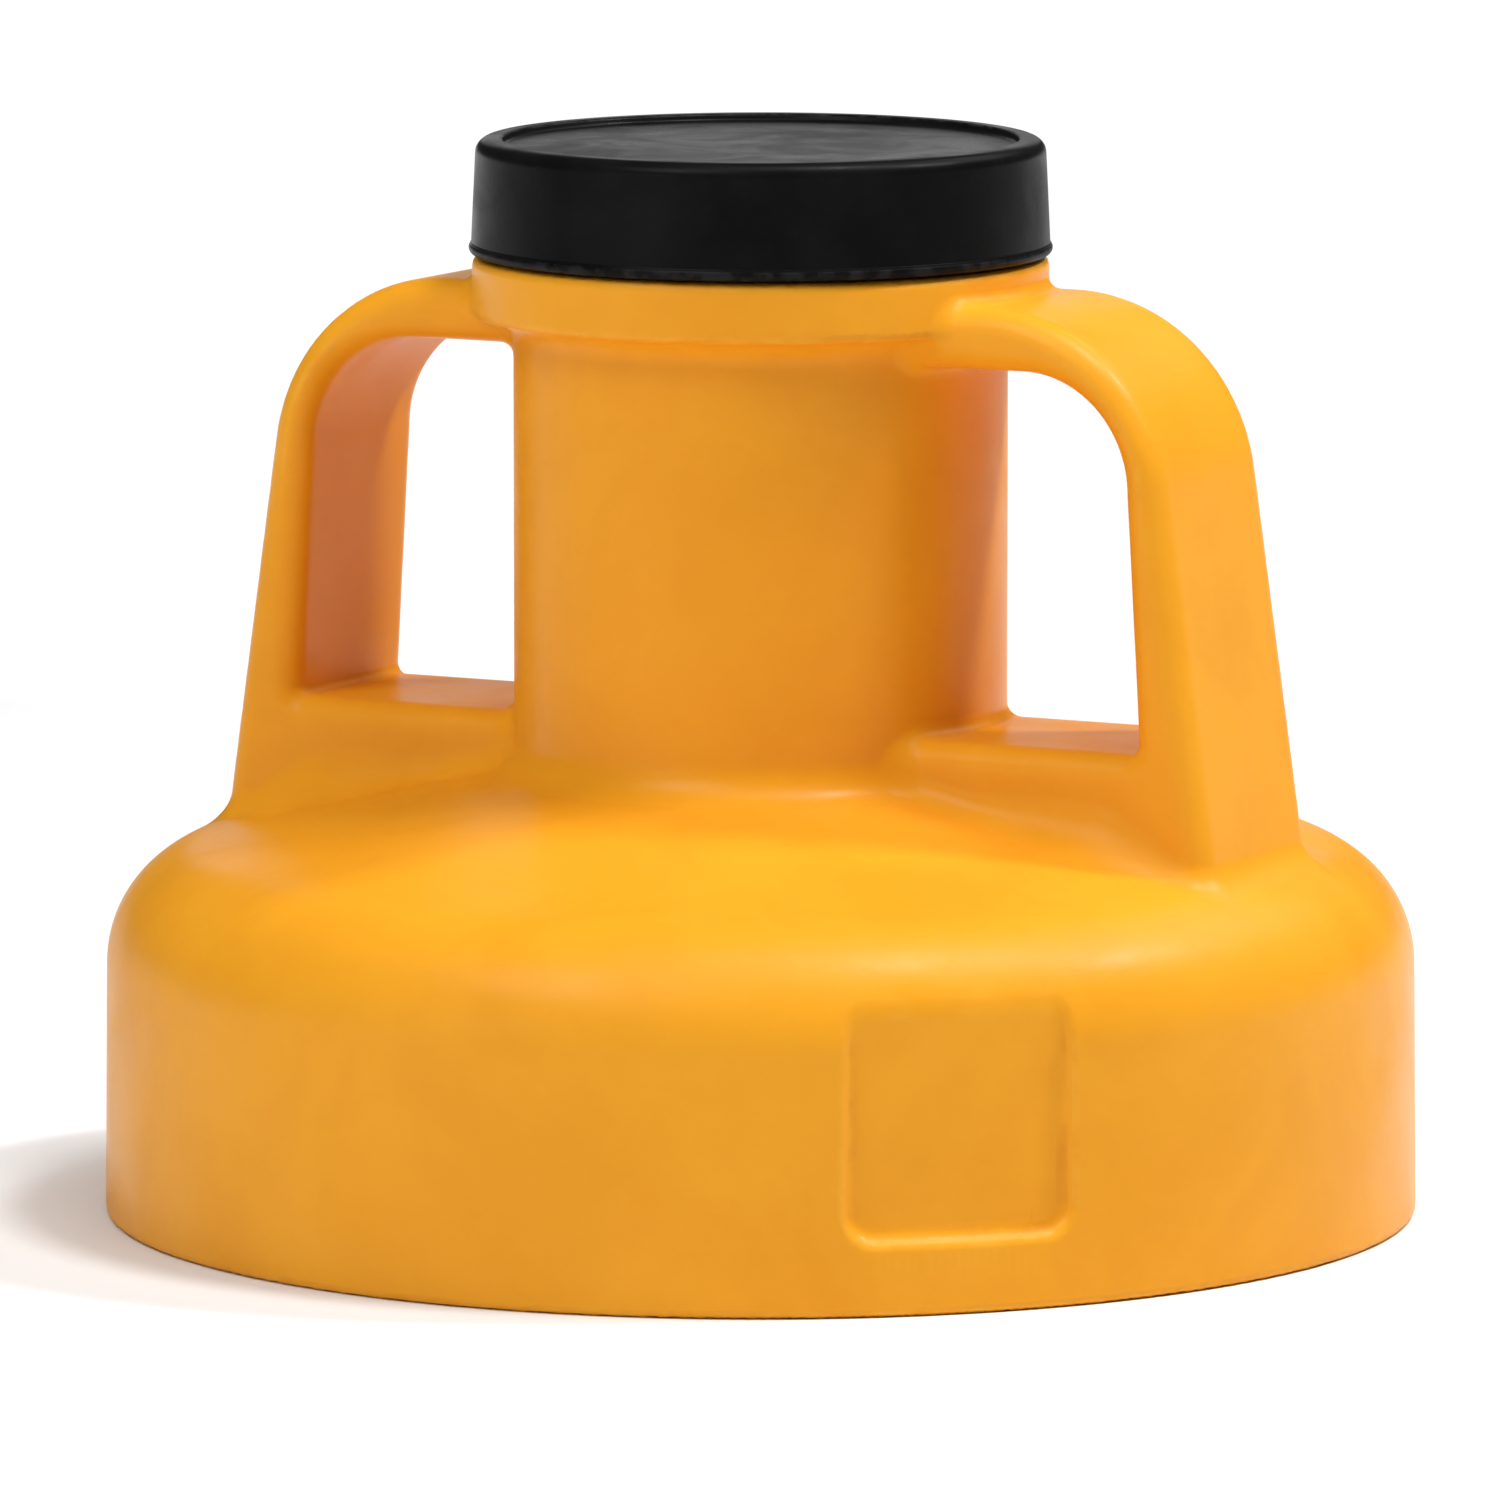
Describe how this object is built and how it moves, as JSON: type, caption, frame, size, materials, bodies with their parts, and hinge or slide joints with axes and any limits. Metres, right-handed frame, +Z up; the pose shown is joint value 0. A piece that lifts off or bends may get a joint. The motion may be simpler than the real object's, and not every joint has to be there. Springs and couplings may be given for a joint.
{
  "type": "oil container utility lid",
  "caption": "Twin-handled screw-on utility lid for an oil container, with a tall pour neck closed by a screw cap.",
  "frame": {"origin": "centre of the collar's bottom rim, on the lid's axis", "axes": "+Z up along the lid's axis to the cap, the two handles on +X and -X, the label recess between +X and -Y"},
  "size_m": [0.16, 0.16, 0.1311],
  "materials": {
    "lid_plastic": "satin injection-moulded polyethylene",
    "cap_plastic": "satin black polypropylene",
    "liner_foam": "matt foamed polyethylene disc",
    "gasket_rubber": "matt nitrile rubber"
  },
  "bodies": {
    "lid": {"lid_body": "lid_plastic", "base_gasket": "gasket_rubber"},
    "liner": {"cap_liner": "liner_foam"},
    "cap": {"pour_cap": "cap_plastic"}
  },
  "joints": [
    {"name": "cap_lift", "type": "slide", "parent": "lid", "child": "liner", "axis": [0, 0, 1], "range_m": [0, 0.015]},
    {"name": "cap_turn", "type": "hinge", "parent": "liner", "child": "cap", "pos_m": [0, 0, 0.12], "axis": [0, 0, 1], "range_deg": [0, 1080]}
  ],
  "couplings": [
    {"joint": "cap_lift", "follows": "cap_turn", "m_per_rad": 0.00079577}
  ]
}
